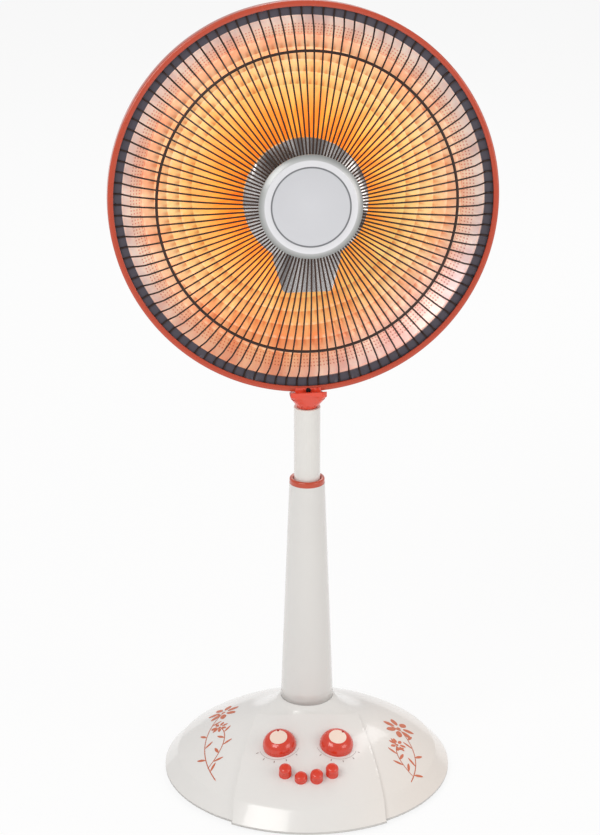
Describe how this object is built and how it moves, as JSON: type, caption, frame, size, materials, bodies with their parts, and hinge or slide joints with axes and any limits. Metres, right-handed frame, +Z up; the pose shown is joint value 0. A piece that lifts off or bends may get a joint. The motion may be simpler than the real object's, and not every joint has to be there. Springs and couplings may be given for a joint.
{
  "type": "pedestal radiant heater",
  "caption": "Pedestal radiant dish heater: wire-guarded round reflector with a ring lamp on a swivel neck, sliding pole and round control base",
  "frame": {"origin": "on the floor, on the axis of the column, at the middle of the round base", "axes": "+Z up along the column, -Y to the front where the controls are, +X to the viewer's right"},
  "size_m": [0.4058, 0.3171, 0.8459],
  "materials": {
    "white_plastic": "glossy white moulding with a soft pearl",
    "base_plate": "plain pale grey moulding",
    "foot_rubber": "soft black rubber",
    "zinc_steel": "zinc plated steel",
    "ballast_iron": "rough cast iron",
    "white_column": "glossy white moulding",
    "white_pole": "white enamel on steel tube",
    "nylon": "natural nylon",
    "gland_rubber": "black rubber",
    "switch_black": "black moulded plastic",
    "orange_trim": "glossy orange red moulding",
    "orange_neck": "bright glossy orange red moulding",
    "orange_knob": "glossy orange red moulding",
    "orange_key": "glossy orange red moulding",
    "rear_orange": "heat resistant orange red moulding",
    "black_screw": "blackened steel",
    "dark_band": "dark grey enamel on steel",
    "dark_wire": "dark brown enamel on steel wire",
    "silver_hub": "pale silver moulding",
    "reflector_aluminium": "bright pressed aluminium",
    "shield_chrome": "polished chrome plate",
    "quartz": "clear quartz tube",
    "filament": "glowing wound wire",
    "ceramic": "white glazed ceramic",
    "knob_cap": "pale cream inlay"
  },
  "bodies": {
    "base": {"base_cover": "white_plastic", "base_bottom": "base_plate", "rubber_feet": "foot_rubber", "base_screws": "zinc_steel", "ballast": "ballast_iron", "column_flange": "zinc_steel", "floor_screws": "zinc_steel", "guide_tube": "zinc_steel", "column_sleeve": "white_column", "guide_bush": "nylon", "collar_ring": "orange_trim", "timer_unit": "switch_black", "thermostat_unit": "switch_black", "control_screws": "zinc_steel", "key_switch": "switch_black", "tip_switch": "switch_black", "terminal_block": "nylon", "cord_gland": "gland_rubber"},
    "pole": {"pole_tube": "white_pole", "pole_foot_bush": "nylon", "friction_ring": "gland_rubber", "neck_liner": "nylon"},
    "neck": {"swivel_neck": "orange_neck", "stem_washer": "zinc_steel", "stem_bolt": "zinc_steel", "tilt_pin": "zinc_steel", "friction_washers": "nylon"},
    "head": {"tilt_bracket": "orange_neck", "rim_hoop": "orange_trim", "rim_screw": "black_screw", "guard_band": "dark_band", "guard_wires": "dark_wire", "guard_hub": "silver_hub", "guard_hub_back": "dark_band", "guard_hub_screw": "zinc_steel", "reflector": "reflector_aluminium", "centre_shield": "shield_chrome", "shield_stays": "zinc_steel", "lamp_tube": "quartz", "lamp_filament": "filament", "lamp_caps": "ceramic", "lamp_holder": "zinc_steel", "lamp_clips": "zinc_steel", "rear_shell": "rear_orange", "rear_cap": "rear_orange", "rear_cap_screws": "black_screw", "head_screws": "black_screw", "heat_baffle": "zinc_steel", "thermal_cutout": "switch_black"},
    "timer_dial": {"timer_knob": "orange_knob", "timer_knob_cap": "knob_cap", "timer_shaft": "zinc_steel"},
    "thermostat_dial": {"thermostat_knob": "orange_knob", "thermostat_knob_cap": "knob_cap", "thermostat_shaft": "zinc_steel"},
    "heat_key_1": {"key_1": "orange_key"},
    "heat_key_2": {"key_2": "orange_key"},
    "heat_key_3": {"key_3": "orange_key"},
    "heat_key_4": {"key_4": "orange_key"},
    "tip_foot": {"tip_plunger": "switch_black"}
  },
  "joints": [
    {"name": "pole_height", "type": "slide", "parent": "base", "child": "pole", "axis": [0, 0, 1], "range_m": [-0.075, 0.13]},
    {"name": "head_swivel", "type": "hinge", "parent": "pole", "child": "neck", "pos_m": [0, 0, 0.42], "axis": [0, 0, 1], "range_deg": [-50.5, 39.5]},
    {"name": "head_tilt", "type": "hinge", "parent": "neck", "child": "head", "pos_m": [0, 0, 0.433], "axis": [0.9954, 0.0958, 0], "range_deg": [-16.5, 13.5]},
    {"name": "timer_turn", "type": "hinge", "parent": "base", "child": "timer_dial", "pos_m": [-0.0305, -0.066, 0.05965], "axis": [-0.0958, -0.3729, 0.9229], "range_deg": [-300, 0]},
    {"name": "thermostat_turn", "type": "hinge", "parent": "base", "child": "thermostat_dial", "pos_m": [0.0305, -0.066, 0.05965], "axis": [0.0958, -0.3729, 0.9229], "range_deg": [-99, 171]},
    {"name": "key_1_press", "type": "slide", "parent": "base", "child": "heat_key_1", "axis": [0, -0.4067, 0.9135], "range_m": [-0.004, 0], "stiffness_N_per_m": 300, "springref_m": 0.002},
    {"name": "key_2_press", "type": "slide", "parent": "base", "child": "heat_key_2", "axis": [0, -0.4067, 0.9135], "range_m": [0, 0.004]},
    {"name": "key_3_press", "type": "slide", "parent": "base", "child": "heat_key_3", "axis": [0, -0.4067, 0.9135], "range_m": [-0.004, 0], "stiffness_N_per_m": 300, "springref_m": 0.002},
    {"name": "key_4_press", "type": "slide", "parent": "base", "child": "heat_key_4", "axis": [0, -0.4067, 0.9135], "range_m": [-0.004, 0], "stiffness_N_per_m": 300, "springref_m": 0.002},
    {"name": "tip_foot_drop", "type": "slide", "parent": "base", "child": "tip_foot", "axis": [0, 0, 1], "range_m": [-0.0045, 0]}
  ]
}
